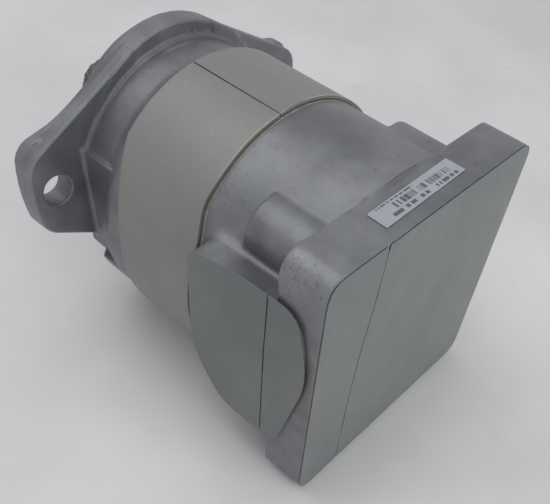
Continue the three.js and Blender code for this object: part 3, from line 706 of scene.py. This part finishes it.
def cast_iron():
    look = Look("cast_iron")
    broad = look.step(look.noise(38, 3, 1), 0.32, 0.68)
    cloudy = look.step(look.noise(9, 5, 2), 0.35, 0.7)
    color = look.mix(broad, gray(0.15, 0.022), gray(0.25, 0.026))
    color = look.mix(look.math("MULTIPLY", cloudy, 0.35), color, gray(0.17, 0.004, 0.006))
    dark = look.step(look.noise(3.2, 4, 3), 0.6, 0.74)
    color = look.mix(look.math("MULTIPLY", dark, 0.45), color, gray(0.085))
    side = look.near((86, 191, -20), 60)
    stain = look.math("MULTIPLY", look.step(look.noise(11, 5, 4), 0.38, 0.62), side)
    color = look.mix(look.math("MULTIPLY", stain, 0.5), color, (0.15, 0.115, 0.085, 1))
    worn = look.near((84, 184, 50), 22)
    worn = look.math("MULTIPLY", worn, look.step(look.noise(2.6, 5, 5), 0.4, 0.62))
    color = look.mix(look.math("MULTIPLY", worn, 0.35), color, gray(0.33, 0.01))
    rust = look.math("MULTIPLY", look.near((82, 180, 46), 26), look.step(look.noise(1.7, 3, 6), 0.6, 0.68))
    color = look.mix(look.math("MULTIPLY", rust, 0.6), color, (0.13, 0.07, 0.04, 1))
    # Painted highlight along the outer edges, partly also rubbed edges: lighter grey where the mesh is
    # pointed.
    edge = look.math("MULTIPLY", look.pointed(), look.step(look.noise(5, 4, 7), 0.3, 0.6))
    color = look.mix(look.math("MULTIPLY", edge, 0.6), color, gray(0.38, 0.015))
    normal = look.bump(look.noise(7, 3, 8), 0.22)
    normal = look.bump(look.noise(1.3, 4, 9), 0.14, normal)
    roughness = look.math("MULTIPLY_ADD", broad, 0.14)
    roughness.node.inputs[2].default_value = 0.34
    return look.finish(color, roughness, 0.4, normal)


def sleeve_sheet():
    look = Look("sleeve_sheet")
    broad = look.step(look.noise(42, 3, 11), 0.3, 0.7)
    color = look.mix(broad, (0.225, 0.23, 0.233, 1), (0.25, 0.246, 0.233, 1))
    brown = look.step(look.noise(16, 5, 12), 0.55, 0.75)
    color = look.mix(look.math("MULTIPLY", brown, 0.3), color, (0.2, 0.183, 0.157, 1))
    scuff = look.step(look.noise(2.2, 3, 13, (1, 0.25, 1)), 0.64, 0.72)
    color = look.mix(look.math("MULTIPLY", scuff, 0.25), color, gray(0.4))
    # Painted highlight along the sleeve's rear rim, from the attribute set in sleeve().
    rim_highlight = look.node("ShaderNodeAttribute", attribute_name="rim_highlight").outputs["Fac"]
    color = look.mix(rim_highlight, color, gray(0.75, 0.01))
    normal = look.bump(look.noise(1.1, 3, 14), 0.03)
    normal = look.bump(look.noise(26, 2, 15), 0.35, normal)
    return look.finish(color, 0.44, 0.15, normal)


def protective_film():
    look = Look("protective_film")
    broad = look.step(look.noise(60, 2, 21), 0.3, 0.7)
    color = look.mix(broad, (0.142, 0.152, 0.156, 1), (0.172, 0.182, 0.184, 1))
    crease = look.noise(30, 4, 22, (1, 1, 0.35))
    pale = look.step(look.noise(4, 4, 23), 0.62, 0.75)
    color = look.mix(look.math("MULTIPLY", pale, 0.12), color, gray(0.3))
    # Painted highlight along the film's edges: lighter grey where the mesh is pointed.
    edge = look.pointed(0.54, 0.62)
    color = look.mix(look.math("MULTIPLY", edge, 0.6), color, gray(0.42))
    mottle = look.step(look.noise(11, 4, 25), 0.35, 0.7)
    color = look.mix(look.math("MULTIPLY", mottle, 0.25), color, gray(0.125, 0.01))
    normal = look.bump(crease, 0.9)
    normal = look.bump(look.noise(9, 3, 26, (1, 1, 0.4)), 0.14, normal)
    normal = look.bump(look.noise(1.6, 3, 24), 0.02, normal)
    return look.finish(color, 0.42, 0.0, normal)


def label_paper():
    """Pale paper with a generic bar pattern and rows of dashes that spell nothing."""
    look = Look("label_paper")
    axes = look.node("ShaderNodeSeparateXYZ", {0: look.place})

    def within(axis, low, high, soft):
        value = axes.outputs[axis]
        shift = FLANGE_Y if axis == "Y" else 0
        low, high = low * MM + shift, high * MM + shift
        rising = look.step(value, low, low + soft * MM)
        return look.math("MULTIPLY", rising, look.step(value, high, high - soft * MM))

    def marks(pitch, share, seed, row, reach):
        cell = look.math("FLOOR", look.math("DIVIDE", axes.outputs["X"], pitch * MM))
        inputs = {"W": look.math("ADD", cell, seed)}
        random = look.node("ShaderNodeTexWhiteNoise", inputs, noise_dimensions="1D").outputs[0]
        ink = look.math("LESS_THAN", random, share)
        area = look.math("MULTIPLY", within("Y", *row, 0.3), within("X", *reach, 0.3))
        return look.math("MULTIPLY", ink, area)

    ink = marks(0.55, 0.5, 3, (188.4, 192.6), (-24, 21))
    ink = look.math("MAXIMUM", ink, marks(0.9, 0.6, 40, (186.2, 187.5), (2, 31)))
    ink = look.math("MAXIMUM", ink, marks(1.3, 0.62, 80, (193.7, 196.2), (-26, 27)))
    broad = look.step(look.noise(12, 3, 31), 0.3, 0.7)
    paper = look.mix(broad, (0.37, 0.385, 0.43, 1), (0.41, 0.42, 0.46, 1))
    color = look.mix(look.math("MULTIPLY", ink, 0.85), paper, gray(0.06))
    return look.finish(color, 0.4, 0.0, look.bump(look.noise(9, 3, 32), 0.12))


def machined(name, dark, light, roughness, metallic, tint=(1, 1, 1), ring_size=0.35):
    """Turned or ground metal: fine lines round the shaft direction and a little uneven tone."""
    look = Look(name)
    broad = look.step(look.noise(14, 4, 41), 0.3, 0.7)
    lines = look.noise(ring_size, 2, 42, (0.02, 1, 0.02))
    low = (*(dark * t for t in tint), 1)
    high = (*(light * t for t in tint), 1)
    color = look.mix(broad, low, high)
    color = look.mix(look.math("MULTIPLY", look.step(lines, 0.45, 0.75), 0.35), color, low)
    normal = look.bump(lines, 0.01, look.rounded_normal(0.35))
    rough = look.math("MULTIPLY_ADD", broad, 0.12)
    rough.node.inputs[2].default_value = roughness
    return look.finish(color, rough, metallic, normal)


def black_steel():
    look = Look("black_steel")
    worn = look.step(look.noise(2.5, 4, 51), 0.55, 0.75)
    color = look.mix(worn, gray(0.035), gray(0.09))
    normal = look.bump(look.noise(0.8, 3, 52), 0.03, look.rounded_normal(0.4))
    return look.finish(color, 0.42, 0.7, normal)


def seal_rubber():
    look = Look("seal_rubber")
    dusty = look.step(look.noise(3, 4, 61), 0.4, 0.8)
    color = look.mix(dusty, gray(0.02), gray(0.05))
    return look.finish(color, 0.7, 0.0, look.bump(look.noise(0.7, 3, 62), 0.04, look.rounded_normal(0.4)))


def gasket_paper():
    look = Look("gasket_paper")
    fibres = look.step(look.noise(1.2, 4, 71), 0.3, 0.7)
    color = look.mix(fibres, (0.16, 0.24, 0.2, 1), (0.24, 0.33, 0.27, 1))
    return look.finish(color, 0.85, 0.0, look.bump(look.noise(0.9, 3, 72), 0.05))


def lip_rubber():
    look = Look("lip")
    tone = look.step(look.noise(7, 4, 81), 0.3, 0.7)
    color = look.mix(tone, (0.2, 0.205, 0.165, 1), (0.29, 0.29, 0.23, 1))
    return look.finish(color, 0.5, 0.0, look.bump(look.noise(2, 3, 82), 0.06))


looks = {
    "cast_iron": cast_iron(),
    "sleeve_sheet": sleeve_sheet(),
    "protective_film": protective_film(),
    "label_paper": label_paper(),
    "ground_steel": machined("ground_steel", 0.36, 0.52, 0.26, 1.0),
    "bearing_steel": machined("bearing_steel", 0.48, 0.62, 0.18, 1.0),
    "spring_steel": machined("spring_steel", 0.2, 0.3, 0.32, 0.9, (0.96, 0.98, 1.0), 0.8),
    "bronze": machined("bronze", 0.42, 0.6, 0.28, 1.0, (1.0, 0.72, 0.36)),
    "black_steel": black_steel(),
    "seal_rubber": seal_rubber(),
    "gasket_paper": gasket_paper(),
}
shaft_look = machined("shaft_steel", 0.12, 0.22, 0.3, 0.9)
lip_look = lip_rubber()

# ---------------------------------------------------------------- assembly


def add(piece, body, slot, *nodes, look=None):
    """Puts a piece on its body with its finish, standing for the CAD nodes named."""
    piece.data.materials.append(look or looks[slot])
    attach(piece, body)
    if nodes:
        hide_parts(*nodes)
    return piece


for subpart in frame["record"]["subparts"]:
    node = frame["nodes"][subpart["node"]]
    node.material_slots[0].material = looks[subpart["material_slot"]]

front = surface("front_casting", front_field, front_lo, front_hi)
add(front, "housing", "cast_iron", "front_housing")
rear = surface("rear_casting", rear_field, rear_lo, rear_hi)
add(rear, "housing", "cast_iron", "rear_housing")
add(sleeve(), "housing", "sleeve_sheet", "housing_sleeve")
add(sleeve_lip(), "housing", "sleeve_sheet", look=lip_look)
add(port_film(1), "housing", "protective_film", "left_port_film")
add(port_film(-1), "housing", "protective_film", "right_port_film")
add(rear_film(), "housing", "protective_film", "rear_film")
add(label_sticker(), "housing", "label_paper", "label")
add(drive_shaft(), "shaft", "ground_steel", "drive_shaft", look=shaft_look)

# ---------------------------------------------------------------- stage, light and camera

CAMERA_PLACE = Vector((251.7, 320.3, 251.7))  # millimetres from the flange's front face
CAMERA_TURN = (37.589, -6.029, 131.297)  # degrees
CAMERA_LENS = 44.28
CAMERA_SHIFT = (-0.0837, 0.2441)
FLOOR_TILT = math.atan2(9.2, 134.0)  # the pump lies on the sleeve and the square end's lower edge


def put(thing, place, turn=(0, 0, 0)):
    """Links an object at a place in millimetres from the flange's front face."""
    thing.location = Vector(place) * MM + Vector((0, FLANGE_Y, 0))
    thing.rotation_euler = Euler(turn, "XYZ")
    bpy.context.scene.collection.objects.link(thing)
    return thing


def make_camera():
    data = bpy.data.cameras.new("camera")
    data.lens = CAMERA_LENS
    data.sensor_width = 36
    data.shift_x, data.shift_y = CAMERA_SHIFT
    data.clip_start = 0.01
    camera = put(bpy.data.objects.new("camera", data), CAMERA_PLACE, [math.radians(a) for a in CAMERA_TURN])
    bpy.context.scene.camera = camera


def floor_look():
    """White painted board with faint smudges."""
    look = Look("floor")
    broad = look.step(look.noise(130, 4, 91), 0.3, 0.7)
    color = look.mix(broad, (0.70, 0.70, 0.70, 1), (0.78, 0.775, 0.77, 1))
    smudge = look.step(look.noise(28, 5, 92), 0.6, 0.78)
    color = look.mix(look.math("MULTIPLY", smudge, 0.18), color, (0.5, 0.48, 0.46, 1))
    return look.finish(color, 0.6, 0.0, look.bump(look.noise(40, 4, 93), 0.5))


def make_floor():
    half = 2500.0
    low = PLATE_BOTTOM - 0.02
    mesh = bpy.data.meshes.new("floor")
    corners = [(-half, -half, 0), (half, -half, 0), (half, half, 0), (-half, half, 0)]
    mesh.from_pydata([Vector(c) * MM for c in corners], [], [[0, 1, 2, 3]])
    mesh.materials.append(floor_look())
    put(bpy.data.objects.new("floor", mesh), (0, PLATE_Y, low), (-FLOOR_TILT, 0, 0))


def make_light(name, place, size, power, target=(0, 100, -20)):
    data = bpy.data.lights.new(name, "AREA")
    data.size = size * MM
    data.energy = power
    aim = Vector(target) - Vector(place)
    put(bpy.data.objects.new(name, data), place, aim.to_track_quat("-Z", "Y").to_euler())


def make_world():
    world = bpy.data.worlds.new("world")
    bpy.context.scene.world = world
    world.use_nodes = True
    tree = world.node_tree
    background = tree.nodes["Background"]
    background.inputs["Strength"].default_value = 0.58
    direction = tree.nodes.new("ShaderNodeTexCoord").outputs["Generated"]
    split = tree.nodes.new("ShaderNodeSeparateXYZ")
    tree.links.new(direction, split.inputs[0])
    ramp = tree.nodes.new("ShaderNodeValToRGB")
    ramp.color_ramp.elements[0].color = (1.0, 1.0, 1.0, 1)
    ramp.color_ramp.elements[1].color = (0.8, 0.82, 0.86, 1)
    tree.links.new(split.outputs["Z"], ramp.inputs[0])
    tree.links.new(ramp.outputs[0], background.inputs["Color"])


make_camera()
make_floor()
make_world()
make_light("rear", (-60, 1100, 260), 700, 3.5)
make_light("top", (150, -250, 900), 900, 3.5)
bpy.context.scene.view_settings.view_transform = "Standard"
